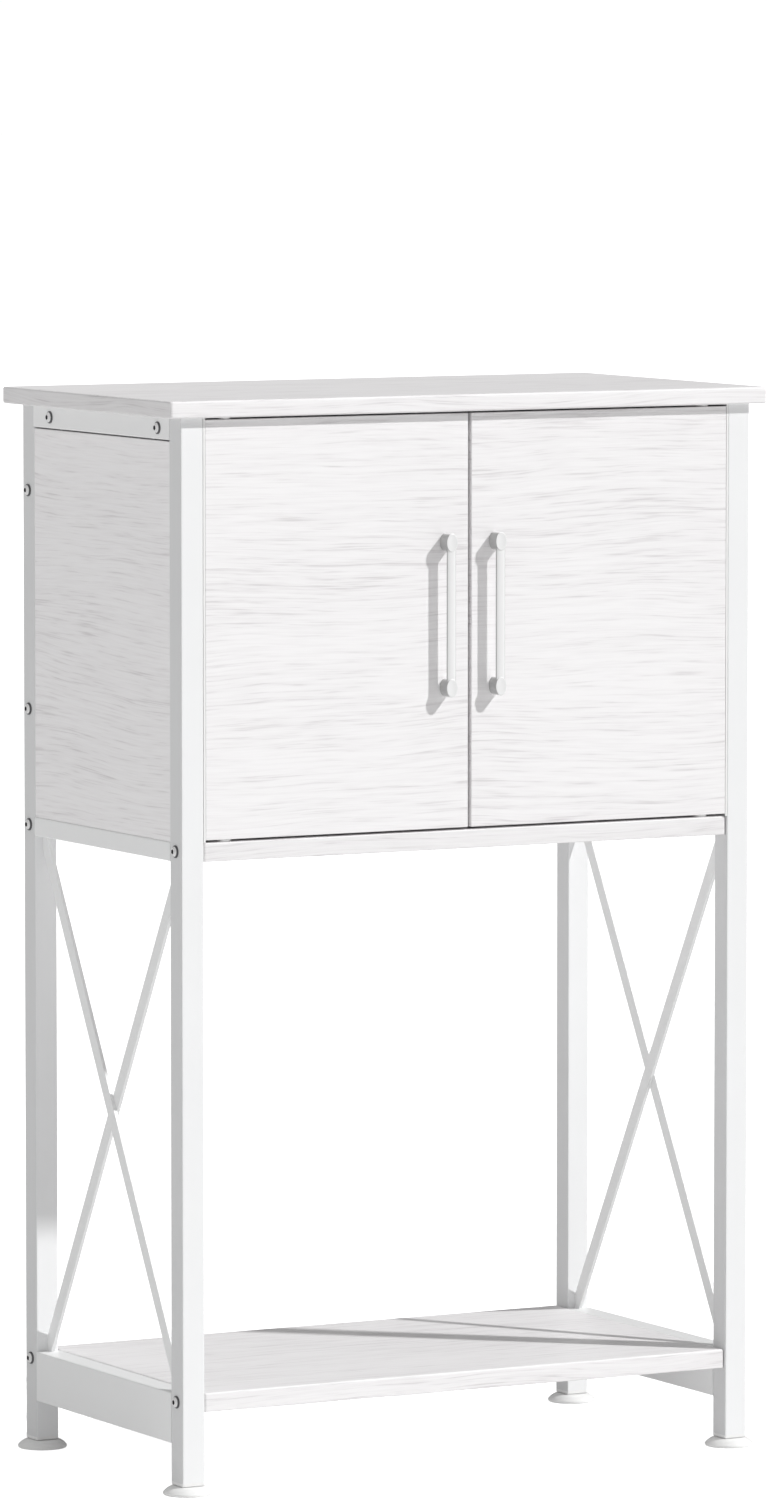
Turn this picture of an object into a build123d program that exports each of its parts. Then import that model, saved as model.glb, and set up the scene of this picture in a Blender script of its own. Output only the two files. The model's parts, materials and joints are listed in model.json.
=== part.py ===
from build123d import *
import os
from math import atan2, degrees, hypot, sqrt

# Aquarium stand cabinet: two welded tube side frames, a top board for the tank, a two-door
# cabinet, and an open bay below it. Millimetres. X is the width, Y runs from the doors
# (negative) to the back, Z is up from the floor, and the origin is on the floor in the middle.

# Overall sizes
board_width = 600
board_thick = 15
total_height = 957
frame_depth = 309
side_overhang = 14
front_overhang = 8
back_overhang = 13

# Steel frame
leg_size = 22
tube_wall = 1
tube_corner = 1.4
top_rail_height = 20
mid_rail_height = 17
bottom_rail_height = 45
bottom_rail_z = 44
brace_width = 13
brace_thick = 3
stretcher_size = 20
front_stretcher_inset = 43.5
back_stretcher_inset = 55

# Boards
shelf_thick = 17
cabinet_floor_z = 555.5
bottom_shelf_z = 72.5
shelf_inset = 1.5
shelf_gap = 0.5
shelf_corner = 2.5
shelf_bolt_drop = 7.5
side_panel_thick = 15
panel_inset = 0.6
panel_gap = 1.2
panel_side_gap = 0.3
back_panel_thick = 15
board_corner = 3
board_edge = 2
panel_edge = 0.8

# Doors and their pivots
door_thick = 16
door_side_gap = 1.6
door_end_gap = 2
door_centre_gap = 3.4
door_edge = 0.6
pivot_inset = 22
pin_diameter = 5
pin_in_door = 20
pin_tip = 5.7
pin_chamfer = 0.5
bush_diameter = 9
bush_depth = 4
bush_flange = 12
flange_gap = 0.3
strip_thin_edge = 0.3
strip_gap = 0.35
running_clearance = 0.05
fit_clearance = 0.1

# Handles
handle_from_edge = 23
handle_spacing = 128
handle_top_below_board = 115
handle_reach = 13
post_width = 11
post_height = 16.5
post_round = 0.7
grip_width = 8.8
grip_thick = 2.4
grip_crown = 1.44
grip_recess = 0.5
handle_screw_diameter = 4
handle_screw_in_post = 8

# Button-head bolts and their nuts
bolt_diameter = 6
bolt_clearance = 0.25
bolt_head_diameter = 11
bolt_head_height = 3.3
bolt_rim = 0.8
bolt_dome_radius = 6.325
bolt_flat_diameter = 6
bolt_tip_chamfer = 0.6
bolt_socket = 4
bolt_socket_depth = 2
barrel_diameter = 10
barrel_length = 11.5
barrel_inset = 36
bolt_past_barrel = 1.5
end_nut_length = 16
back_bolt_heights = (669, 865)

# Magnetic catches
catch_x = 30
catch_length = 40
catch_depth = 12.5
catch_height = 14
catch_corner = 1.5
catch_gap = 0.3
magnet_length = 18
magnet_height = 8
magnet_depth = 8
strike_length = 34
strike_height = 9
strike_thick = 1.2
strike_corner = 1.5

# Small screws and pins, with the driver's cross as shares of the head
cross_length = 0.5
cross_width = 0.12
screw_diameter = 4
screw_head = 8
screw_head_height = 2.4
screw_in_board = 10
small_screw_diameter = 3
small_screw_head = 5.6
small_screw_head_height = 1.6
small_screw_reach = 9
flat_screw_head = 5.2
flat_screw_offset = 12
catch_screw_offset = 15
board_screw_offset = 180
panel_pin_diameter = 5
panel_pin_depth = 16
panel_pin_stub = 9
panel_pin_offset = 90

# Levelling feet
foot_diameter = 44
foot_rim = 2.4
foot_rim_round = 1.4
foot_height = 7.7
foot_hub = 29
foot_slope_radius = 14.3
stem_diameter = 8
stem_length = 26
stem_chamfer = 1
insert_flange = 3
insert_chamfer = 0.7
insert_depth = 18
foot_gap = 0.3

# Places worked out from the sizes
leg_x = board_width / 2 - side_overhang - leg_size / 2
leg_y = frame_depth / 2 - leg_size / 2
outer_x = leg_x + leg_size / 2
inner_x = leg_x - leg_size / 2
front_y = -frame_depth / 2
between_legs = frame_depth - 2 * leg_size
board_z = total_height - board_thick
leg_z = foot_height + foot_gap + insert_flange
top_rail_z = board_z - top_rail_height
cabinet_z = cabinet_floor_z + shelf_thick
mid_rail_z = cabinet_z - mid_rail_height
bay_z = bottom_rail_z + bottom_rail_height
inner_corner = tube_corner - tube_wall
shelf_bolt_rise = shelf_thick - shelf_bolt_drop
shelf_bolt_heights = (bottom_shelf_z + shelf_bolt_rise, cabinet_floor_z + shelf_bolt_rise)
rail_bolt_z = board_z - stretcher_size / 2
stretcher_ys = (front_y + front_stretcher_inset, -front_y - back_stretcher_inset)
shelf_depth = frame_depth - 2 * shelf_inset
shelf_width = 2 * (inner_x - shelf_gap)
shelf_end_x = inner_x - shelf_gap
barrel_x = shelf_end_x - barrel_inset
leg_bolt_length = outer_x - barrel_x + barrel_diameter / 2 + bolt_past_barrel
bolt_hole = bolt_diameter / 2 + bolt_clearance
barrel_hole = barrel_diameter / 2 + fit_clearance
rail_bolt_length = leg_size + end_nut_length
door_z = cabinet_z + door_end_gap
door_height = board_z - door_end_gap - door_z
door_y = front_y + door_thick / 2
door_back_y = front_y + door_thick
pivot_x = inner_x - door_side_gap - pivot_inset
strip_radius = inner_x - pivot_x - strip_thin_edge
door_edge_radius = strip_radius - strip_gap
door_corner_x = pivot_x + sqrt(door_edge_radius**2 - (door_thick / 2) ** 2)
handle_zs = (board_z - handle_top_below_board - handle_spacing, board_z - handle_top_below_board)
handle_x = door_centre_gap / 2 + handle_from_edge
catch_z = board_z - catch_height
catch_y = door_back_y + strike_thick + catch_gap + catch_depth / 2
magnet_y = catch_y - (catch_depth - magnet_depth) / 2
strike_z = board_z - catch_height / 2
strike_face_y = door_back_y + strike_thick
panel_x = outer_x - panel_inset - side_panel_thick / 2
panel_top_z = top_rail_z - panel_gap
pin_ys = (-panel_pin_offset, panel_pin_offset)

os.makedirs("parts", exist_ok=True)


def save(piece, name):
    piece.part.label = name
    export_step(piece.part, f"parts/{name}.step")


def hollow_tube(width, height):
    # the tube's section, on the sketch that is open
    RectangleRounded(width, height, tube_corner)
    RectangleRounded(width - 2 * tube_wall, height - 2 * tube_wall, inner_corner, mode=Mode.SUBTRACT)


def along_x(x, y, z, towards=1):
    # a place whose own Z axis points along +X or -X
    return Location((x, y, z), (0, 90 * towards, 0))


def facing_down(x, y, z):
    return Location((x, y, z), (180, 0, 0))


def button_bolt(length):
    # the head stands on the plane Z = 0 and the shank hangs below it
    shank = bolt_diameter / 2
    head = bolt_head_diameter / 2
    flat = bolt_flat_diameter / 2
    with BuildPart() as bolt:
        with BuildSketch(Plane.XZ):
            with BuildLine():
                Polyline((0, bolt_head_height), (0, -length), (shank - bolt_tip_chamfer, -length),
                         (shank, bolt_tip_chamfer - length), (shank, 0), (head, 0), (head, bolt_rim))
                RadiusArc((head, bolt_rim), (flat, bolt_head_height), bolt_dome_radius)
                Line((flat, bolt_head_height), (0, bolt_head_height))
            make_face()
        revolve(axis=Axis.Z)
        with BuildSketch(Plane.XY.offset(bolt_head_height)):
            RegularPolygon(bolt_socket / 2, 6, major_radius=False)
        extrude(amount=-bolt_socket_depth, mode=Mode.SUBTRACT)
    return bolt.part


def driver_cross(head):
    # on the sketch that is open
    Rectangle(head * cross_length, head * cross_width)
    Rectangle(head * cross_width, head * cross_length)


def pan_screw(diameter, length, head, head_height):
    # the head stands on the plane Z = 0, the point hangs below it, and the slot is a cross
    with BuildPart() as screw:
        with BuildSketch(Plane.XZ):
            with BuildLine():
                Polyline((0, head_height), (0, -length), (diameter / 2, diameter - length), (diameter / 2, 0),
                         (head / 2, 0), (head / 2, head_height * 0.4), (head / 4, head_height), (0, head_height))
            make_face()
        revolve(axis=Axis.Z)
        with BuildSketch(Plane.XY.offset(head_height)):
            driver_cross(head)
        extrude(amount=-head_height / 2, mode=Mode.SUBTRACT)
    return screw.part


def flat_screw(diameter, length, head):
    # a countersunk screw, its flat head level with the plane Z = 0
    taper = (head - diameter) / 2
    with BuildPart() as screw:
        with BuildSketch(Plane.XZ):
            with BuildLine():
                Polyline((0, 0), (0, -length), (diameter / 2, diameter - length), (diameter / 2, -taper),
                         (head / 2, 0), (0, 0))
            make_face()
        revolve(axis=Axis.Z)
        with BuildSketch():
            driver_cross(head)
        extrude(amount=-taper, mode=Mode.SUBTRACT)
    return screw.part


# Top board, with sockets for the pivot bushes and pilot holes for every screw that holds to it
pivot_places = [(side * pivot_x, door_y) for side in (-1, 1)]
board_screw_places = [(x, y) for y in stretcher_ys for x in (-board_screw_offset, 0, board_screw_offset)]
catch_screw_places = [(side * catch_x + end * catch_screw_offset, catch_y) for side in (-1, 1) for end in (-1, 1)]

with BuildPart() as top_board:
    with BuildSketch(Plane.XY.offset(board_z)):
        with Locations((0, (back_overhang - front_overhang) / 2)):
            RectangleRounded(board_width, frame_depth + front_overhang + back_overhang, board_corner)
    extrude(amount=board_thick)
    fillet(top_board.edges().group_by(Axis.Z)[-1] + top_board.edges().group_by(Axis.Z)[0], board_edge)
    with Locations(*[facing_down(x, y, board_z) for x, y in pivot_places]):
        Hole(bush_diameter / 2 + fit_clearance, bush_depth + fit_clearance)
    with Locations(*[facing_down(x, y, board_z) for x, y in board_screw_places]):
        Hole(screw_diameter / 2 + fit_clearance, screw_in_board + fit_clearance)
    with Locations(*[facing_down(x, y, board_z) for x, y in catch_screw_places]):
        Hole(small_screw_diameter / 2 + fit_clearance, small_screw_reach + fit_clearance)
save(top_board, "top_board")

# The two shelves, bolted through the legs into barrel nuts let in from below
shelf_barrel_places = [(sx * barrel_x, sy * leg_y) for sx in (-1, 1) for sy in (-1, 1)]

for name, shelf_z in (("cabinet_floor", cabinet_floor_z), ("bottom_shelf", bottom_shelf_z)):
    bolt_z = shelf_z + shelf_bolt_rise
    with BuildPart() as shelf:
        with BuildSketch(Plane.XY.offset(shelf_z)):
            RectangleRounded(shelf_width, shelf_depth, shelf_corner)
        extrude(amount=shelf_thick)
        fillet(shelf.edges().group_by(Axis.Z)[-1], board_edge)
        fillet(shelf.edges().group_by(Axis.Z)[0], panel_edge)
        with Locations(*[along_x(sx * shelf_end_x, sy * leg_y, bolt_z, sx) for sx in (-1, 1) for sy in (-1, 1)]):
            Hole(bolt_hole, leg_bolt_length)
        with Locations(*[facing_down(x, y, shelf_z) for x, y in shelf_barrel_places]):
            Hole(barrel_hole, shelf_bolt_rise + barrel_length / 2 + fit_clearance)
        if name == "cabinet_floor":
            with Locations(*[Location((x, y, cabinet_z)) for x, y in pivot_places]):
                Hole(bush_diameter / 2 + fit_clearance, bush_depth + fit_clearance)
    save(shelf, name)

    with BuildPart() as barrels:
        with Locations(*[(x, y, bolt_z) for x, y in shelf_barrel_places]):
            Cylinder(barrel_diameter / 2, barrel_length)
        with Locations(*[along_x(x, y, bolt_z) for x, y in shelf_barrel_places]):
            Cylinder(bolt_diameter / 2 + running_clearance, barrel_diameter + 2, mode=Mode.SUBTRACT)
    save(barrels, f"{name}_barrel_nuts")

# Back panel, bolted through the back legs the same way
back_barrel_places = [(side * barrel_x, z) for side in (-1, 1) for z in back_bolt_heights]
back_face_y = leg_y - back_panel_thick / 2

with BuildPart() as back_panel:
    with BuildSketch(Plane.XY.offset(cabinet_z)):
        with Locations((0, leg_y)):
            Rectangle(shelf_width, back_panel_thick)
    extrude(amount=board_z - panel_gap - cabinet_z)
    fillet(back_panel.edges(), panel_edge)
    with Locations(*[along_x(sx * shelf_end_x, leg_y, z, sx) for sx in (-1, 1) for z in back_bolt_heights]):
        Hole(bolt_hole, leg_bolt_length)
    with Locations(*[Location((x, back_face_y, z), (90, 0, 0)) for x, z in back_barrel_places]):
        Hole(barrel_hole, (back_panel_thick + barrel_length) / 2 + fit_clearance)
save(back_panel, "back_panel")

with BuildPart() as back_barrels:
    with Locations(*[Location((x, leg_y, z), (90, 0, 0)) for x, z in back_barrel_places]):
        Cylinder(barrel_diameter / 2, barrel_length)
    with Locations(*[along_x(x, leg_y, z) for x, z in back_barrel_places]):
        Cylinder(bolt_diameter / 2 + running_clearance, barrel_diameter + 2, mode=Mode.SUBTRACT)
save(back_barrels, "back_panel_barrel_nuts")

# Side frames, the same on both sides
brace_rise = mid_rail_z - bay_z
brace_mid_z = bay_z + brace_rise / 2
brace_angle = degrees(atan2(brace_rise, between_legs))
brace_length = hypot(brace_rise, between_legs) + 4 * brace_width

for side_name, side in (("left", -1), ("right", 1)):
    for end_name, end in (("front", -1), ("back", 1)):
        bolt_heights = shelf_bolt_heights if end < 0 else shelf_bolt_heights + back_bolt_heights
        with BuildPart() as leg:
            with BuildSketch(Plane.XY.offset(leg_z)):
                with Locations((side * leg_x, end * leg_y)):
                    hollow_tube(leg_size, leg_size)
            extrude(amount=board_z - leg_z)
            with Locations(*[along_x(side * leg_x, end * leg_y, z) for z in bolt_heights]):
                Hole(bolt_hole)
        save(leg, f"{end_name}_leg_{side_name}")

    for name, rail_z, rail_height in (("top_rail", top_rail_z, top_rail_height),
                                      ("mid_rail", mid_rail_z, mid_rail_height),
                                      ("bottom_rail", bottom_rail_z, bottom_rail_height)):
        with BuildPart() as rail:
            with BuildSketch(Plane.XZ):
                with Locations((side * leg_x, rail_z + rail_height / 2)):
                    hollow_tube(leg_size, rail_height)
            extrude(amount=between_legs / 2, both=True)
            if name == "top_rail":
                with Locations(*[along_x(side * leg_x, y, rail_bolt_z) for y in stretcher_ys]):
                    Hole(bolt_hole)
                with Locations(*[(side * panel_x, y, rail_z) for y in pin_ys]):
                    Cylinder(panel_pin_diameter / 2 + running_clearance, tube_wall * 4, mode=Mode.SUBTRACT)
            if name == "mid_rail":
                with Locations(*[(side * panel_x, y, cabinet_z) for y in pin_ys]):
                    Hole(panel_pin_diameter / 2 + running_clearance, tube_wall * 2)
        save(rail, f"{name}_{side_name}")

    # two flat bars lapped back to back on the frame's middle plane, cut off by the tubes round them
    for name, layer, lean in (("outer_brace", 0, 1), ("inner_brace", -1, -1)):
        first_x = leg_x + layer * brace_thick
        with BuildPart() as brace:
            with BuildSketch(Plane.YZ.offset(side * first_x)):
                with Locations((0, brace_mid_z)):
                    Rectangle(brace_length, brace_width, rotation=lean * brace_angle)
                    Rectangle(between_legs, brace_rise, mode=Mode.INTERSECT)
            extrude(amount=side * brace_thick)
        save(brace, f"{name}_{side_name}")

    with BuildPart() as side_panel:
        with BuildSketch(Plane.XY.offset(cabinet_z)):
            with Locations((side * panel_x, 0)):
                Rectangle(side_panel_thick, between_legs - 2 * panel_side_gap)
        extrude(amount=panel_top_z - cabinet_z)
        fillet(side_panel.edges(), panel_edge)
        with Locations(*[Location((side * panel_x, y, panel_top_z)) for y in pin_ys]):
            Hole(panel_pin_diameter / 2 + running_clearance, panel_pin_depth + fit_clearance)
        with Locations(*[facing_down(side * panel_x, y, cabinet_z) for y in pin_ys]):
            Hole(panel_pin_diameter / 2 + running_clearance, panel_pin_depth + fit_clearance)
    save(side_panel, f"side_panel_{side_name}")

    with BuildPart() as panel_pins:
        with Locations(*[(side * panel_x, y, panel_top_z - panel_pin_depth) for y in pin_ys]):
            Cylinder(panel_pin_diameter / 2, panel_pin_depth + panel_pin_stub,
                     align=(Align.CENTER, Align.CENTER, Align.MIN))
        with Locations(*[(side * panel_x, y, cabinet_z + panel_pin_depth) for y in pin_ys]):
            Cylinder(panel_pin_diameter / 2, panel_pin_depth + panel_pin_stub,
                     align=(Align.CENTER, Align.CENTER, Align.MAX))
    save(panel_pins, f"panel_pins_{side_name}")

    leg_bolt_places = [(end * leg_y, z) for end in (-1, 1) for z in shelf_bolt_heights]
    leg_bolt_places += [(leg_y, z) for z in back_bolt_heights]
    leg_bolt = button_bolt(leg_bolt_length)
    rail_bolt = button_bolt(rail_bolt_length)
    with BuildPart() as bolts:
        with Locations(*[along_x(side * outer_x, y, z, side) for y, z in leg_bolt_places]):
            add(leg_bolt)
        with Locations(*[along_x(side * outer_x, y, rail_bolt_z, side) for y in stretcher_ys]):
            add(rail_bolt)
    save(bolts, f"bolts_{side_name}")

# Stretchers under the top board, with a threaded block in each end for the rail bolts
for name, stretcher_y in zip(("front_stretcher", "back_stretcher"), stretcher_ys):
    with BuildPart() as stretcher:
        with BuildSketch(Plane.YZ):
            with Locations((stretcher_y, rail_bolt_z)):
                hollow_tube(stretcher_size, stretcher_size)
        extrude(amount=inner_x, both=True)
        with Locations(*[(x, y, rail_bolt_z) for x, y in board_screw_places if y == stretcher_y]):
            Hole(screw_diameter / 2 + fit_clearance)
    save(stretcher, name)

end_nut_size = stretcher_size - 2 * tube_wall - 2 * fit_clearance
with BuildPart() as end_nuts:
    for side in (-1, 1):
        with BuildSketch(Plane.YZ.offset(side * inner_x)):
            with Locations(*[(y, rail_bolt_z) for y in stretcher_ys]):
                RectangleRounded(end_nut_size, end_nut_size, inner_corner)
                Circle(bolt_diameter / 2 + running_clearance, mode=Mode.SUBTRACT)
        extrude(amount=-side * end_nut_length)
save(end_nuts, "stretcher_end_nuts")

board_screw = pan_screw(screw_diameter, stretcher_size + screw_in_board, screw_head, screw_head_height)
with BuildPart() as board_screws:
    with Locations(*[facing_down(x, y, board_z - stretcher_size) for x, y in board_screw_places]):
        add(board_screw)
save(board_screws, "board_screws")

# Flanged bushes that the door pivots turn in, let into the top board and the cabinet floor
bush_flange_thick = door_end_gap - flange_gap
for name, bush_places in (("upper_hinge_bushes", [facing_down(x, y, board_z) for x, y in pivot_places]),
                          ("lower_hinge_bushes", [Location((x, y, cabinet_z)) for x, y in pivot_places])):
    with BuildPart() as bushes:
        with Locations(*bush_places):
            Cylinder(bush_flange / 2, bush_flange_thick, align=(Align.CENTER, Align.CENTER, Align.MIN))
            Cylinder(bush_diameter / 2, bush_depth, align=(Align.CENTER, Align.CENTER, Align.MAX))
            Cylinder(pin_diameter / 2 + running_clearance, 3 * bush_depth, mode=Mode.SUBTRACT)
    save(bushes, name)

# Doors, each with its handle, pivots and strike plate
door_top_z = door_z + door_height
handle_hole = handle_screw_diameter / 2 + fit_clearance
strike_screw_hole = small_screw_diameter / 2 + fit_clearance

for side_name, side in (("left", -1), ("right", 1)):
    hinge_x = side * pivot_x
    strike_screw_xs = [side * catch_x + offset for offset in (-flat_screw_offset, flat_screw_offset)]
    free_x = side * door_centre_gap / 2
    corner_x = side * door_corner_x
    # the edge beside the leg is an arc about the pivot, so that it turns in place
    with BuildPart() as door:
        with BuildSketch(Plane.XY.offset(door_z)):
            with BuildLine():
                Polyline((corner_x, front_y), (free_x, front_y), (free_x, door_back_y), (corner_x, door_back_y))
                ThreePointArc((corner_x, door_back_y), (side * (pivot_x + door_edge_radius), door_y),
                              (corner_x, front_y))
            make_face()
        extrude(amount=door_height)
        fillet(door.edges(), door_edge)
        with Locations(*[Location((side * handle_x, door_back_y, z), (-90, 0, 0)) for z in handle_zs]):
            Hole(handle_hole)
        with Locations(*[Location((x, door_back_y, strike_z), (-90, 0, 0)) for x in strike_screw_xs]):
            Hole(strike_screw_hole, small_screw_reach + fit_clearance)
        with Locations(Location((hinge_x, door_y, door_top_z)), facing_down(hinge_x, door_y, door_z)):
            Hole(pin_diameter / 2 + running_clearance, pin_in_door + fit_clearance)
    save(door, f"door_{side_name}")

    for name, face_z, up in (("upper_hinge_pin", door_top_z, 1), ("lower_hinge_pin", door_z, -1)):
        with BuildPart() as hinge_pin:
            with Locations((hinge_x, door_y, face_z + up * (pin_tip - pin_in_door) / 2)):
                Cylinder(pin_diameter / 2, pin_in_door + pin_tip)
            chamfer(hinge_pin.edges().sort_by(Axis.Z)[-1 if up > 0 else 0], pin_chamfer)
        save(hinge_pin, f"{name}_{side_name}")

    # a cover strip on the leg, hollowed about the same pivot, closes the gap in front of the door's round edge
    strip_front_x = pivot_x + sqrt(strip_radius**2 - (door_thick / 2) ** 2)
    strip_middle_x = pivot_x + sqrt(strip_radius**2 - (door_thick / 4) ** 2)
    with BuildPart() as strip:
        with BuildSketch(Plane.XY.offset(cabinet_z)):
            with BuildLine():
                Polyline((side * (pivot_x + strip_radius), door_y), (side * inner_x, door_y),
                         (side * inner_x, front_y), (side * strip_front_x, front_y))
                ThreePointArc((side * strip_front_x, front_y), (side * strip_middle_x, door_y - door_thick / 4),
                              (side * (pivot_x + strip_radius), door_y))
            make_face()
        extrude(amount=board_z - cabinet_z)
    save(strip, f"cover_strip_{side_name}")

    # oval posts standing on the door, joined by a thin crowned grip just short of their faces
    grip_face = handle_reach - grip_recess
    with BuildPart() as handle:
        with BuildSketch(Plane.XZ.offset(-front_y)):
            with Locations(*[(side * handle_x, z) for z in handle_zs]):
                Ellipse(post_width / 2, post_height / 2)
        extrude(amount=handle_reach)
        fillet(handle.edges().group_by(Axis.Y)[0], post_round)
        with BuildSketch(Plane.XY.offset(handle_zs[0])):
            with Locations((side * handle_x, front_y - grip_face + grip_thick / 2)):
                Ellipse(grip_width / 2, grip_crown)
                Rectangle(grip_width, grip_thick, mode=Mode.INTERSECT)
        extrude(amount=handle_spacing)
        with Locations(*[Location((side * handle_x, front_y, z), (-90, 0, 0)) for z in handle_zs]):
            Hole(handle_screw_diameter / 2 + running_clearance, handle_screw_in_post + fit_clearance)
    save(handle, f"handle_{side_name}")

    handle_screw = pan_screw(handle_screw_diameter, door_thick + handle_screw_in_post,
                             screw_head, screw_head_height)
    with BuildPart() as handle_screws:
        with Locations(*[Location((side * handle_x, door_back_y, z), (-90, 0, 0)) for z in handle_zs]):
            add(handle_screw)
    save(handle_screws, f"handle_screws_{side_name}")

    with BuildPart() as strike:
        with BuildSketch(Plane.XZ.offset(-door_back_y)):
            with Locations((side * catch_x, strike_z)):
                RectangleRounded(strike_length, strike_height, strike_corner)
        extrude(amount=-strike_thick)
        with Locations(*[Location((x, strike_face_y, strike_z), (-90, 0, 0)) for x in strike_screw_xs]):
            CounterSinkHole(strike_screw_hole, flat_screw_head / 2 + fit_clearance, counter_sink_angle=90)
    save(strike, f"strike_plate_{side_name}")

    strike_screw = flat_screw(small_screw_diameter, strike_thick + small_screw_reach, flat_screw_head)
    with BuildPart() as strike_screws:
        with Locations(*[Location((x, strike_face_y, strike_z), (-90, 0, 0)) for x in strike_screw_xs]):
            add(strike_screw)
    save(strike_screws, f"strike_screws_{side_name}")

# Magnetic catches screwed up into the top board, one behind each door's free edge
catch_screw = pan_screw(small_screw_diameter, catch_height - small_screw_head_height + small_screw_reach,
                        small_screw_head, small_screw_head_height)
catch_centres = [(side * catch_x, catch_y, board_z - catch_height / 2) for side in (-1, 1)]
magnet_centres = [(side * catch_x, magnet_y, board_z - catch_height / 2) for side in (-1, 1)]

with BuildPart() as catch_cases:
    with Locations(*catch_centres):
        Box(catch_length, catch_depth, catch_height)
    fillet(catch_cases.edges().filter_by(Axis.Z), catch_corner)
    with Locations(*magnet_centres):
        Box(magnet_length + 2 * fit_clearance, magnet_depth + 2 * fit_clearance,
            magnet_height + 2 * fit_clearance, mode=Mode.SUBTRACT)
    with Locations(*[facing_down(x, y, catch_z) for x, y in catch_screw_places]):
        CounterBoreHole(small_screw_diameter / 2 + fit_clearance, small_screw_head / 2 + fit_clearance,
                        small_screw_head_height)
save(catch_cases, "catch_cases")

with BuildPart() as magnets:
    with Locations(*magnet_centres):
        Box(magnet_length, magnet_depth, magnet_height)
save(magnets, "catch_magnets")

with BuildPart() as catch_screws:
    with Locations(*[facing_down(x, y, catch_z + small_screw_head_height) for x, y in catch_screw_places]):
        add(catch_screw)
save(catch_screws, "catch_screws")

# Levelling feet: a domed disc on a threaded stem, in an insert that closes the leg's end
insert_size = leg_size - 2 * tube_wall - 2 * fit_clearance
foot_places = [(side_name, side, end_name, end) for side_name, side in (("left", -1), ("right", 1))
               for end_name, end in (("front", -1), ("back", 1))]

with BuildPart() as inserts:
    for side_name, side, end_name, end in foot_places:
        with BuildSketch(Plane.XY.offset(leg_z)):
            with Locations((side * leg_x, end * leg_y)):
                RectangleRounded(insert_size, insert_size, inner_corner)
                Circle(stem_diameter / 2 + running_clearance, mode=Mode.SUBTRACT)
        extrude(amount=insert_depth)
        with BuildSketch(Plane.XY.offset(leg_z - insert_flange)):
            with Locations((side * leg_x, end * leg_y)):
                RectangleRounded(leg_size, leg_size, tube_corner)
                Circle(stem_diameter / 2 + running_clearance, mode=Mode.SUBTRACT)
        extrude(amount=insert_flange)
    chamfer(inserts.edges().group_by(Axis.Z)[0].filter_by(GeomType.LINE), insert_chamfer)
save(inserts, "leg_inserts")

for side_name, side, end_name, end in foot_places:
    rim = foot_diameter / 2
    stem = stem_diameter / 2
    with BuildPart() as foot:
        with BuildSketch(Plane((side * leg_x, end * leg_y, 0), x_dir=(1, 0, 0), z_dir=(0, -1, 0))):
            with BuildLine():
                Polyline((0, foot_height + stem_length), (0, 0), (rim - foot_rim_round, 0))
                RadiusArc((rim - foot_rim_round, 0), (rim, foot_rim_round), -foot_rim_round)
                Line((rim, foot_rim_round), (rim, foot_rim))
                RadiusArc((rim, foot_rim), (foot_hub / 2, foot_height), -foot_slope_radius)
                Polyline((foot_hub / 2, foot_height), (stem, foot_height),
                         (stem, foot_height + stem_length - stem_chamfer),
                         (stem - stem_chamfer, foot_height + stem_length),
                         (0, foot_height + stem_length))
            make_face()
        revolve(axis=Axis((side * leg_x, end * leg_y, 0), (0, 0, 1)))
    save(foot, f"{end_name}_foot_{side_name}")
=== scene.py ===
import bmesh
import bpy
import json
import numpy as np
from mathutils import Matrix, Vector


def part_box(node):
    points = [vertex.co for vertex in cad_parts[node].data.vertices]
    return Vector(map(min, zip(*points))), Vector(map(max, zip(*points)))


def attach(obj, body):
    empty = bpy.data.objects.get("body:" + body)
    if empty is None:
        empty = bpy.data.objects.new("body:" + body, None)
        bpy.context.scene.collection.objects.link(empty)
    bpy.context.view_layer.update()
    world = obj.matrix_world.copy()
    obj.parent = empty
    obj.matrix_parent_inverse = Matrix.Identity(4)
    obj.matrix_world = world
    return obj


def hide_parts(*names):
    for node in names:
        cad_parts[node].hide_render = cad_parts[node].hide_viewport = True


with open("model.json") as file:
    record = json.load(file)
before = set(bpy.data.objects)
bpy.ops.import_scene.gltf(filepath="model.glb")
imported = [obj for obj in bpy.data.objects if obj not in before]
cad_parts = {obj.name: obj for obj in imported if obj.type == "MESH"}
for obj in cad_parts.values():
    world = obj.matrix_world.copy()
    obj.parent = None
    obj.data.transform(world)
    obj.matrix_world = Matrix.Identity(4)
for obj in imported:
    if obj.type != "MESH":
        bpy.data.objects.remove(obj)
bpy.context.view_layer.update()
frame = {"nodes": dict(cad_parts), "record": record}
nodes = frame["nodes"]
scene = bpy.context.scene
print("frame:", len(nodes), "nodes")


def addNode(tree, kind, inputs=None, **settings):
    # a shader node: an input given as a socket is linked, and any other value is set on it
    node = tree.nodes.new("ShaderNode" + kind)
    for key, value in settings.items():
        setattr(node, key, value)
    for key, value in (inputs or {}).items():
        if isinstance(value, bpy.types.NodeSocket):
            tree.links.new(value, node.inputs[key])
        else:
            node.inputs[key].default_value = value
    return node


def maths(tree, operation, *values):
    return addNode(tree, "Math", dict(enumerate(values)), operation=operation).outputs[0]


def separate(tree, vector):
    return addNode(tree, "SeparateXYZ", {0: vector}).outputs


def noise(tree, point, scale, detail, roughness=0.5):
    return addNode(tree, "TexNoise", {"Vector": point, "Scale": scale, "Detail": detail,
                                      "Roughness": roughness}).outputs[0]


def bump(tree, strength, depth, height):
    return addNode(tree, "Bump", {"Strength": strength, "Distance": depth, "Height": height}).outputs[0]


def scaled(tree, colour, factor):
    return addNode(tree, "VectorMath", {0: colour, "Scale": factor}, operation="SCALE").outputs[0]


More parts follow.
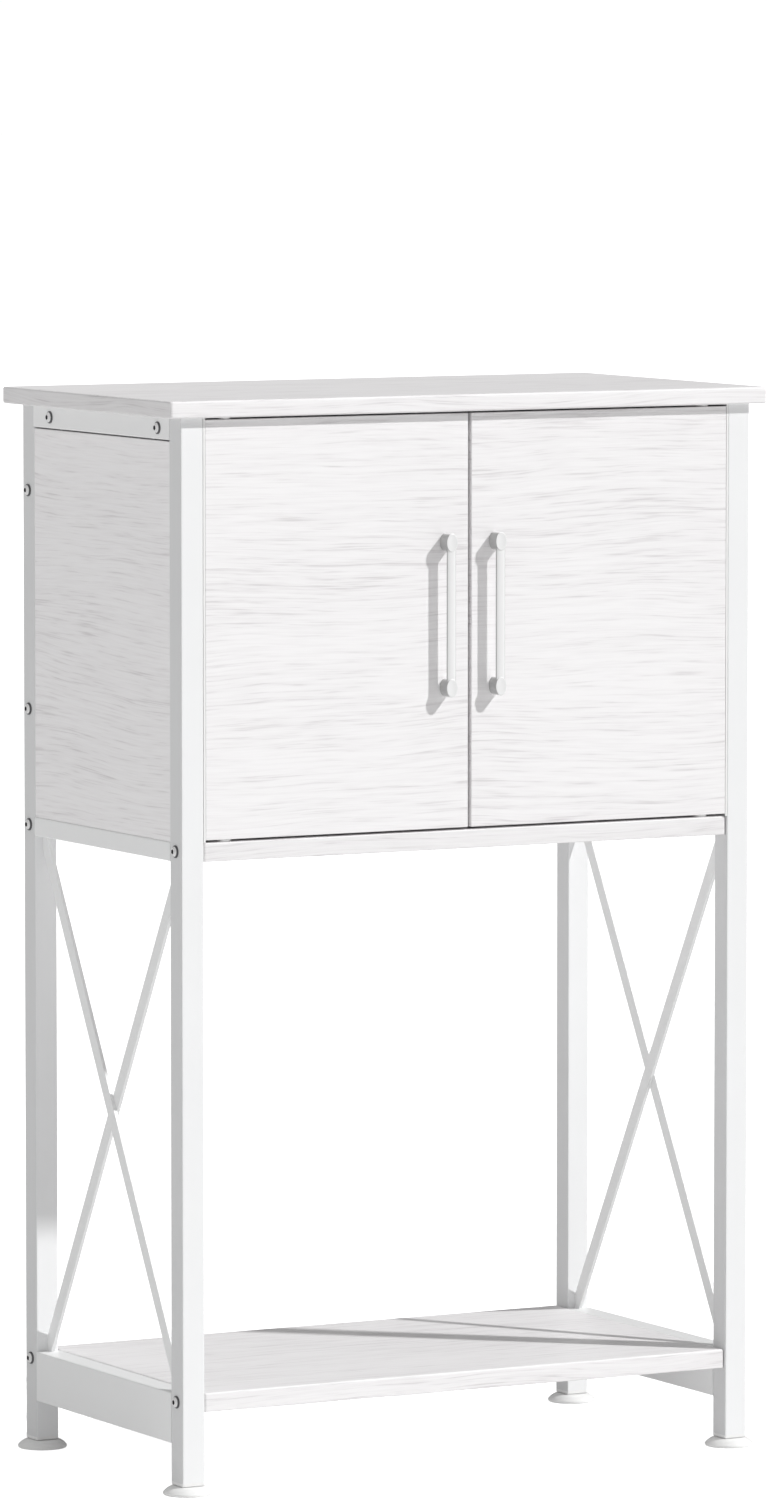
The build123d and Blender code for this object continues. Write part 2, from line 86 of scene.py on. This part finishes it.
def ramp(tree, factor, stops):
    # stops are (position, colour) pairs from the lowest factor to the highest
    node = addNode(tree, "ValToRGB", {0: factor})
    points = node.color_ramp.elements
    points[0].position, points[0].color = stops[0][0], (*stops[0][1], 1)
    points[1].position, points[1].color = stops[-1][0], (*stops[-1][1], 1)
    for position, colour in stops[1:-1]:
        points.new(position).color = (*colour, 1)
    return node.outputs[0]


def grey(value):
    return (value, value, value)


def startMaterial(name, shaderValues):
    material = bpy.data.materials.new(name)
    material.use_nodes = True
    tree = material.node_tree
    shader = tree.nodes["Principled BSDF"]
    for socket, value in shaderValues.items():
        shader.inputs[socket].default_value = value
    return material, tree, shader


def dress(tree, shader, colour, normal):
    tree.links.new(colour, shader.inputs["Base Color"])
    tree.links.new(normal, shader.inputs["Normal"])


laminate = {
    "pale": (0.905, 0.894, 0.898), "paleAt": 0.86,          # the ground colour, and the tone it stands at
    "middle": (0.862, 0.848, 0.853), "middleAt": 0.71,
    "streak": (0.700, 0.680, 0.686), "streakAt": 0.57,      # the darkest fibres
    "facing": 0.7,                  # how squarely a face looks along an axis to count as an end or a flat
    "acrossShift": 0.61,            # how far the pattern shifts across the grain for each metre along it
    "drift": (3.2, 7.0, 1.0, 1.5, 0.5),     # the broad noise that bends the grain lines
    "wander": 0.016,                # how far they stray sideways, m
    "relief": 0.00012, "reliefStrength": 0.6,       # the embossed grain, m
    "shader": {"Roughness": 0.52, "Specular IOR Level": 0.35},
}
grainLayers = {     # the noise (scales along and across the grain, seed, detail, roughness) and its weight
    "streaks": ((11.0, 360.0, 5.0, 2.0, 0.6), 0.56),
    "fibres": ((28.0, 700.0, 3.0, 1.5, 0.6), 0.42),
    "rings": ((5.0, 135.0, 2.0, 2.0, 0.6), 0.34),
    "strength": ((2.4, 12.0, 4.0, 1.0, 0.5), 0.20),
}


def grainDirections(tree, shift):
    # along and across the grain in metres. The grain of wide faces and long edges runs along X, and that of
    # end faces along Y. Across it is Z, or Y on a face that looks up or down.
    place = addNode(tree, "TexCoord")
    point = separate(tree, place.outputs["Object"])
    facing = separate(tree, place.outputs["Normal"])
    onEnd = maths(tree, "GREATER_THAN", maths(tree, "ABSOLUTE", facing[0]), laminate["facing"])
    onFlat = maths(tree, "GREATER_THAN", maths(tree, "ABSOLUTE", facing[2]), laminate["facing"])
    along = maths(tree, "MULTIPLY_ADD", onEnd, maths(tree, "SUBTRACT", point[1], point[0]), point[0])
    across = maths(tree, "MULTIPLY_ADD", onFlat, maths(tree, "SUBTRACT", point[1], point[2]), point[2])
    acrossShift = shift * laminate["acrossShift"]
    return maths(tree, "ADD", along, shift), maths(tree, "ADD", across, acrossShift), onEnd


def stretchedNoise(tree, along, across, alongScale, acrossScale, seed, detail, roughness):
    # noise of (along times its scale, across times its scale), which draws streaks along the grain
    place = addNode(tree, "CombineXYZ", {0: maths(tree, "MULTIPLY", along, alongScale),
                                         1: maths(tree, "MULTIPLY", across, acrossScale), 2: seed})
    return noise(tree, place.outputs[0], 1.0, detail, roughness)


def laminateMaterial(name, shift, faceTone, endTone):
    material, tree, shader = startMaterial(name, laminate["shader"])
    along, across, onEnd = grainDirections(tree, shift)
    drift = stretchedNoise(tree, along, across, *laminate["drift"])
    bent = maths(tree, "MULTIPLY_ADD", drift, laminate["wander"] * 2, across)
    tone = 0.0
    for layer, weight in grainLayers.values():
        tone = maths(tree, "MULTIPLY_ADD", stretchedNoise(tree, along, bent, *layer), weight, tone)
    stops = [(laminate[part + "At"], laminate[part]) for part in ("streak", "middle", "pale")]
    shade = maths(tree, "MULTIPLY_ADD", onEnd, endTone - faceTone, faceTone)
    dress(tree, shader, scaled(tree, ramp(tree, tone, stops), shade),
          bump(tree, laminate["reliefStrength"], laminate["relief"], tone))
    return material


coating = {
    "cloudScale": 9.0, "cloudDetail": 3.0, "deepAt": 0.3, "paleAt": 0.7,    # the drift in tone
    "skinDetail": 1.0, "skinStrength": 0.5,                                 # the skin of fine bumps
    "sideFrom": 0.45, "sideTo": 0.75,       # how squarely a face looks along X where the painted side shade starts and ends
}
coats = {       # grain is how fine the skin's bumps are, and relief how deep, m
    "legPaint": {"pale": (0.880, 0.885, 0.889), "deep": (0.862, 0.867, 0.871), "grain": 700.0,
                 "relief": 0.00004, "paintedSideShade": 0.84,
                 "shader": {"Roughness": 0.42, "Specular IOR Level": 0.22}},
    # the rails, braces and stretchers carry the frame's same paint made a little lighter than the legs':
    # painted light
    "railPaintLightened": {"pale": (0.895, 0.900, 0.899), "deep": (0.878, 0.883, 0.882), "grain": 700.0,
                  "relief": 0.00004, "paintedSideShade": 1.0,
                  "shader": {"Roughness": 0.42, "Specular IOR Level": 0.4}},
    "handlePaint": {"pale": grey(0.835), "deep": grey(0.820), "grain": 500.0,
                    "relief": 0.00001, "paintedSideShade": 0.52,
                    "shader": {"Roughness": 0.28, "Coat Weight": 0.3, "Coat Roughness": 0.12}},
    "mouldedPlastic": {"pale": (0.885, 0.885, 0.878), "deep": (0.865, 0.865, 0.858), "grain": 1200.0,
                       "relief": 0.00003, "paintedSideShade": 1.0, "shader": {"Roughness": 0.50}},
    "ferrite": {"pale": (0.030, 0.030, 0.032), "deep": (0.018, 0.018, 0.020), "grain": 1500.0,
                "relief": 0.00006, "paintedSideShade": 1.0, "shader": {"Roughness": 0.65}},
}


def coatedMaterial(name, look):
    # a coat whose tone drifts a little from place to place, with a skin of fine bumps. On the faces that look
    # along X, either way, its colour is multiplied by a lower tone: painted shade, which stands in for the
    # shade on the sides of the legs and the handle posts.
    material, tree, shader = startMaterial(name, look["shader"])
    place = addNode(tree, "TexCoord").outputs
    cloud = noise(tree, place["Object"], coating["cloudScale"], coating["cloudDetail"])
    skin = noise(tree, place["Object"], look["grain"], coating["skinDetail"])
    colour = ramp(tree, cloud, [(coating["deepAt"], look["deep"]), (coating["paleAt"], look["pale"])])
    # painted shade: the faces that look along X are darkened here
    if look["paintedSideShade"] < 1:
        facing = maths(tree, "ABSOLUTE", separate(tree, place["Normal"])[0])
        sideShadeFactor = addNode(tree, "MapRange", {0: facing, 1: coating["sideFrom"], 2: coating["sideTo"],
                                           3: 1.0, 4: look["paintedSideShade"]}).outputs[0]
        colour = scaled(tree, colour, sideShadeFactor)
    dress(tree, shader, colour, bump(tree, coating["skinStrength"], look["relief"], skin))
    return material


zinc = {
    "pale": (0.70, 0.71, 0.73), "deep": (0.55, 0.56, 0.58), "paleAt": 0.65, "deepAt": 0.35,
    "paleRoughness": 0.26, "deepRoughness": 0.42,
    "lineScale": (900.0, 900.0, 40.0), "lineDetail": 3.0, "lineWeight": 0.5,    # fine rolled lines along Z
    "cloudScale": 120.0, "cloudDetail": 4.0, "cloudWeight": 0.5,                # the cloudy plating
    "relief": 0.00003, "reliefStrength": 0.3,
    "shader": {"Metallic": 1.0},
}


def platedMaterial(name, look):
    # fine rolled lines over a cloudy plating, rougher where it is darker
    material, tree, shader = startMaterial(name, look["shader"])
    place = addNode(tree, "TexCoord").outputs["Object"]
    lined = addNode(tree, "Mapping", {"Vector": place, "Scale": look["lineScale"]}).outputs[0]
    lines = noise(tree, lined, 1.0, look["lineDetail"])
    cloud = noise(tree, place, look["cloudScale"], look["cloudDetail"])
    clouded = maths(tree, "MULTIPLY", cloud, look["cloudWeight"])
    tone = maths(tree, "MULTIPLY_ADD", lines, look["lineWeight"], clouded)
    roughness = ramp(tree, tone, [(look["deepAt"], grey(look["deepRoughness"])),
                                  (look["paleAt"], grey(look["paleRoughness"]))])
    tree.links.new(roughness, shader.inputs["Roughness"])
    colour = ramp(tree, tone, [(look["deepAt"], look["deep"]), (look["paleAt"], look["pale"])])
    dress(tree, shader, colour, bump(tree, look["reliefStrength"], look["relief"], lines))
    return material


bolt = {
    # the second, dark colour is painted shade on the head's side wall and in its socket
    "paint": grey(0.82), "paintedShade": (0.085, 0.085, 0.09), "paintAt": 0.8, "paintedShadeAt": 0.2,
    "crownDepth": 0.00185,          # how far in from the outermost point the paint reaches, m
    "edgeInset": 0.0001, "edgeWidth": 0.0002, "edgeRagged": 0.0002,     # the ragged edge of the paint, m
    "raggedScale": 900.0, "raggedDetail": 2.0,
    "crownFacing": 0.3,             # the socket's walls look along X less than this and get the painted shade
    "relief": 0.00002, "reliefStrength": 0.3,
    "shader": {"Roughness": 0.36, "Specular IOR Level": 0.45},
}
paintFrom = -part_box("bolts_left")[0].x - bolt["crownDepth"]     # how far from the middle the paint starts


def boltMaterial(name, look):
    # paint on the crown alone and painted shade on the rest of the head: the crown is what lies further out
    # than paintFrom and isn't a socket's wall. The dark colour stands in for the shade on the head's side
    # wall and in its socket.
    material, tree, shader = startMaterial(name, look["shader"])
    place = addNode(tree, "TexCoord").outputs
    out = maths(tree, "ABSOLUTE", separate(tree, place["Object"])[0])
    facing = maths(tree, "ABSOLUTE", separate(tree, place["Normal"])[0])
    ragged = noise(tree, place["Object"], look["raggedScale"], look["raggedDetail"])
    beyond = maths(tree, "SUBTRACT", out, paintFrom + look["edgeInset"])
    edge = maths(tree, "MULTIPLY_ADD", ragged, look["edgeRagged"], beyond)
    crown = addNode(tree, "MapRange", {0: edge, 1: 0.0, 2: look["edgeWidth"]}).outputs[0]
    painted = maths(tree, "MULTIPLY", crown, maths(tree, "GREATER_THAN", facing, look["crownFacing"]))
    colour = ramp(tree, painted, [(look["paintedShadeAt"], look["paintedShade"]), (look["paintAt"], look["paint"])])
    dress(tree, shader, colour, bump(tree, look["reliefStrength"], look["relief"], ragged))
    return material


finish = {name: coatedMaterial(name, look) for name, look in coats.items()}
finish["boltPaintAndShade"] = boltMaterial("boltPaintAndShade", bolt)
finish["zincPlate"] = platedMaterial("zincPlate", zinc)

slotFinish = {
    "painted_frame": "legPaint", "painted_handle": "handlePaint", "painted_bolts": "boltPaintAndShade",
    "zinc_steel": "zincPlate", "white_plastic": "mouldedPlastic", "magnet": "ferrite",
}
boards = {      # how far the grain pattern is shifted, and the tones of its faces and of its ends
    "top_board": (0.0, 1.0, 0.90), "door_left": (1.7, 1.0, 1.0), "door_right": (1.76, 1.0, 1.0),
    "side_panel_left": (3.1, 1.0, 1.05), "side_panel_right": (4.3, 1.0, 1.05),
    "cabinet_floor": (5.2, 0.955, 0.95), "bottom_shelf": (6.4, 0.98, 0.95), "back_panel": (7.9, 1.0, 1.0),
}
for subpart in frame["record"]["subparts"]:
    name = subpart["node"]
    if name in boards:
        material = laminateMaterial("laminate_" + name, *boards[name])
    elif "rail" in name or "brace" in name or "stretcher" in name and "nuts" not in name:
        material = finish["railPaintLightened"]
    else:
        material = finish[slotFinish[subpart["material_slot"]]]
    for place in nodes[name].material_slots:
        place.link = "OBJECT"
        place.material = material
print("finishes:", len(bpy.data.materials), "materials")

mergeDistance = 1e-6        # points nearer than this become one, m
sharpAngle = 35.0           # edges that turn more than this stay sharp, degrees


def turnAngles(count):
    return np.linspace(0, 2 * np.pi, count, endpoint=False)


def revolve(radius, height, turn):
    # the points (radius cos turn, radius sin turn, height), where radius and height are columns
    return np.stack([radius * np.cos(turn), radius * np.sin(turn), np.repeat(height, len(turn), axis=1)], -1)


def makePiece(name, grids, body, material):
    # each grid is an array of points (rows, columns, 3), closed round its columns. A row whose points all
    # meet is a pole.
    corners, quads, first = [], [], 0
    for grid in grids:
        rows, columns = grid.shape[:2]
        index = first + np.arange(rows * columns).reshape(rows, columns)
        beside = np.roll(index, -1, axis=1)
        quads.append(np.stack([index[:-1], beside[:-1], beside[1:], index[1:]], -1).reshape(-1, 4))
        corners.append(grid.reshape(-1, 3))
        first += rows * columns
    mesh = bpy.data.meshes.new(name)
    mesh.from_pydata(np.concatenate(corners).tolist(), [], np.concatenate(quads).tolist())
    shell = bmesh.new()
    shell.from_mesh(mesh)
    bmesh.ops.remove_doubles(shell, verts=shell.verts, dist=mergeDistance)
    bmesh.ops.recalc_face_normals(shell, faces=shell.faces)
    shell.to_mesh(mesh)
    shell.free()
    mesh.shade_smooth()
    mesh.set_sharp_from_angle(angle=np.radians(sharpAngle))
    mesh.materials.append(material)
    piece = bpy.data.objects.new(name, mesh)
    scene.collection.objects.link(piece)
    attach(piece, body)
    return piece


foot = {        # metres
    "rimRadius": 0.0220, "rimHeight": 0.0024, "rimRound": 0.0014,
    "recessRadius": 0.012, "recessEdge": 0.014, "recessDepth": 0.0012,      # the hollow underneath
    "hubRadius": 0.0145, "hubHeight": 0.0077, "hubBevel": 0.0005, "slopeRadius": 0.0143,
    "stemRadius": 0.0040, "stemClearance": 0.0008, "stemTop": 0.0337, "stemTip": 0.001,
    "threadDepth": 0.00055, "threadPitch": 0.00125,
    "around": 72, "rimRows": 6, "slopeRows": 16, "threadRows": 170,
}


def slopePoints():
    # (radius, height) points on the arc of slopeRadius from the top of the rim to the hub. Its centre lies
    # off the middle of the chord by sqrt(slopeRadius^2 - (chord / 2)^2), on the side of the leg's axis.
    start = np.array([foot["rimRadius"], foot["rimHeight"]])
    stop = np.array([foot["hubRadius"], foot["hubHeight"]])
    chord = stop - start
    half = np.hypot(*chord) / 2
    offset = np.sqrt(foot["slopeRadius"] ** 2 - half ** 2)
    centre = (start + stop) / 2 + np.array([-chord[1], chord[0]]) / (2 * half) * offset
    fromAngle, toAngle = (np.arctan2(*(point - centre)[::-1]) for point in (start, stop))
    return [tuple(centre + foot["slopeRadius"] * np.array([np.cos(a), np.sin(a)]))
            for a in np.linspace(fromAngle, toAngle, foot["slopeRows"])]


def footGrid(x, y):
    # a turned profile (radius, height) carried round the leg's axis. On the stem the radius is
    # stemRadius - threadDepth * |2 frac(height / pitch - angle / turn) - 1|, a screw thread of that pitch.
    rim, hub, stem, top = foot["rimRadius"], foot["hubRadius"], foot["stemRadius"], foot["stemTop"]
    hubHeight, rounding, turn = foot["hubHeight"], foot["rimRound"], turnAngles(foot["around"])
    underside = [(0.0, foot["recessDepth"]), (foot["recessRadius"], foot["recessDepth"]),
                 (foot["recessEdge"], 0.0)]
    lowerRound = [(rim - rounding * (1 - np.sin(a)), rounding * (1 - np.cos(a)))
                  for a in np.linspace(0, np.pi / 2, foot["rimRows"])]
    crown = [(hub - foot["hubBevel"], hubHeight), (stem + foot["stemClearance"], hubHeight)]
    profile = np.array(underside + lowerRound + slopePoints() + crown)
    heights = np.linspace(hubHeight, top - foot["stemTip"], foot["threadRows"])[:, None]
    phase = heights / foot["threadPitch"] - turn / (2 * np.pi)
    threadRadius = stem - foot["threadDepth"] * np.abs(2 * (phase % 1) - 1)
    tipRadius = np.array([stem - foot["stemTip"], 0.0])[:, None]
    turned = revolve(profile[:, :1], profile[:, 1:], turn)
    thread = revolve(threadRadius, heights, turn)
    tip = revolve(tipRadius, np.full((2, 1), top), turn)
    return np.concatenate([turned, thread, tip]) + (x, y, 0)


for end in ("front", "back"):
    for side in ("left", "right"):
        node = f"{end}_foot_{side}"
        low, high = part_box(node)
        middle = (low + high) / 2
        piece = makePiece(f"levelling_foot_{end}_{side}", [footGrid(middle.x, middle.y)], node,
                          finish["mouldedPlastic"])
        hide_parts(node)
print("feet: made")

handle = {      # metres
    "postWidth": 0.0110, "postHeight": 0.0165, "postRound": 0.0007, "postDish": 0.0004, "spacing": 0.128,
    "postRings": (0.0, 0.003, 0.008),               # rings on the post's wall, out from the door
    "dishShares": (0.97, 0.85, 0.65, 0.4, 0.0),     # rings of its face, as shares of the rim
    "gripWidth": 0.0088, "gripThick": 0.0024, "gripRecess": 0.0005, "gripPower": 6.0, "gripCrown": 0.0009,
    "gripLap": 0.002,                               # how far the grip runs past the middle of each post
    "postAround": 56, "roundRows": 8, "gripAround": 64, "gripRows": 30,
}


def postGrid(x, z, backY, frontY):
    # an oval post: rings of one ellipse going out from the door and rounded over into a face dished by
    # dish * (1 - share^2), where share runs from 0 at the middle of the face to 1 at its rim
    width, height, rounding = handle["postWidth"] / 2, handle["postHeight"] / 2, handle["postRound"]
    arc, turn = np.linspace(0, np.pi / 2, handle["roundRows"]), turnAngles(handle["postAround"])
    rounded = 1 - rounding * (1 - np.cos(arc)) / width
    share, rings = np.array(handle["dishShares"]), backY - np.array(handle["postRings"])
    scale = np.concatenate([[0], np.ones(len(rings)), rounded, share * rounded[-1]])[:, None]
    out = np.concatenate([[backY], rings, frontY + rounding * (1 - np.sin(arc)),
                          frontY + handle["postDish"] * (1 - share ** 2)])[:, None]
    return np.stack([x + scale * width * np.cos(turn), np.repeat(out, len(turn), axis=1),
                     z + scale * height * np.sin(turn)], -1)


def gripGrid(x, lowZ, highZ, frontY):
    # a flat bar carried up between the posts: the superellipse |u|^power + |v|^power = 1, whose front falls
    # away towards its edges by crown * u^2. Its first and last rows are the poles of its ends.
    turn, rows, thick = turnAngles(handle["gripAround"]), handle["gripRows"], handle["gripThick"] / 2
    u, v = (np.sign(wave) * np.abs(wave) ** (2 / handle["gripPower"])
            for wave in (np.cos(turn), np.sin(turn)))
    heights = np.linspace(lowZ, highZ, rows)
    heights[0], heights[-1] = heights[1], heights[-2]
    scale = np.concatenate([[0], np.ones(rows - 2), [0]])[:, None]
    middle = frontY + handle["gripRecess"] + thick
    fall = handle["gripCrown"] * u ** 2 * (v < 0)
    return np.stack([x + scale * handle["gripWidth"] / 2 * u, middle + scale * (thick * v + fall),
                     np.repeat(heights[:, None], len(turn), axis=1)], -1)


for side in ("left", "right"):
    node = "handle_" + side
    low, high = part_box(node)
    middle = (low + high) / 2
    postZs = (middle.z - handle["spacing"] / 2, middle.z + handle["spacing"] / 2)
    grids = [postGrid(middle.x, z, high.y, low.y) for z in postZs]
    grids.append(gripGrid(middle.x, postZs[0] - handle["gripLap"], postZs[1] + handle["gripLap"], low.y))
    piece = makePiece("cast_handle_" + side, grids, "door_" + side, finish["handlePaint"])
    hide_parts(node)
print("handles: made")

stage = {
    "floorSize": 60.0,          # from the middle to each edge, m
    "floorTone": 0.79,          # what the floor throws back on the object
    "floorRoughness": 0.9,
    "floorFill": 0.14,          # its own soft light, which fills the shadows low down
    "floorGlow": 0.65,          # what the camera sees on top of that, which keeps the floor near white
    "skyTone": 0.11, "skyTop": 0.42, "skyLeft": 0.32,   # the sky's light, and its gain upwards and leftwards
    "skyLeast": 0.02,           # the least light it gives anywhere
    "keyStrength": 2.71, "keySize": 2.0, "keyFrom": (0.569, -0.514, 0.642),
}
reach = stage["floorSize"]
floorMesh = bpy.data.meshes.new("floor")
floorMesh.from_pydata([(-reach, -reach, 0), (reach, -reach, 0), (reach, reach, 0), (-reach, reach, 0)],
                      [], [(0, 1, 2, 3)])
floor = bpy.data.objects.new("floor", floorMesh)
scene.collection.objects.link(floor)
floorMaterial, tree, shader = startMaterial("palefloor", {
    "Base Color": (*grey(stage["floorTone"]), 1), "Roughness": stage["floorRoughness"],
    "Specular IOR Level": 0.0, "Emission Color": (1, 1, 1, 1)})
seen = addNode(tree, "LightPath").outputs["Is Camera Ray"]
glow = maths(tree, "MULTIPLY_ADD", seen, stage["floorGlow"], stage["floorFill"])
tree.links.new(glow, shader.inputs["Emission Strength"])
floorMesh.materials.append(floorMaterial)

world = bpy.data.worlds.new("studio")
scene.world = world
world.use_nodes = True
tree = world.node_tree
sky = tree.nodes["Background"]
sky.inputs["Color"].default_value = (1, 1, 1, 1)
seen = addNode(tree, "LightPath").outputs["Is Camera Ray"]      # the camera sees a sky brighter by one
towards = separate(tree, addNode(tree, "TexCoord").outputs["Generated"])
lift = maths(tree, "MULTIPLY_ADD", towards[2], stage["skyTop"], stage["skyTone"])
lift = maths(tree, "MULTIPLY_ADD", towards[0], -stage["skyLeft"], lift)
lift = maths(tree, "MAXIMUM", lift, stage["skyLeast"])
tree.links.new(maths(tree, "ADD", seen, lift), sky.inputs["Strength"])

key = bpy.data.lights.new("key", "SUN")
key.energy = stage["keyStrength"]
key.angle = np.radians(stage["keySize"])
keyObject = bpy.data.objects.new("key", key)
keyObject.rotation_euler = Vector(stage["keyFrom"]).to_track_quat("Z", "Y").to_euler()
scene.collection.objects.link(keyObject)
scene.view_settings.view_transform = "Standard"

view = {"lens": 214.438, "sensor": 36.0, "clipEnd": 200.0,
        "place": (-3.8141, -7.0171, 1.3220), "forward": (0.47563, 0.87541, -0.08621)}
camera = bpy.data.cameras.new("camera")
camera.lens = view["lens"]
camera.sensor_width = view["sensor"]
camera.clip_end = view["clipEnd"]
cameraObject = bpy.data.objects.new("camera", camera)
cameraObject.location = view["place"]
cameraObject.rotation_euler = Vector(view["forward"]).to_track_quat("-Z", "Y").to_euler()
scene.collection.objects.link(cameraObject)
scene.camera = cameraObject
print("stage: set")
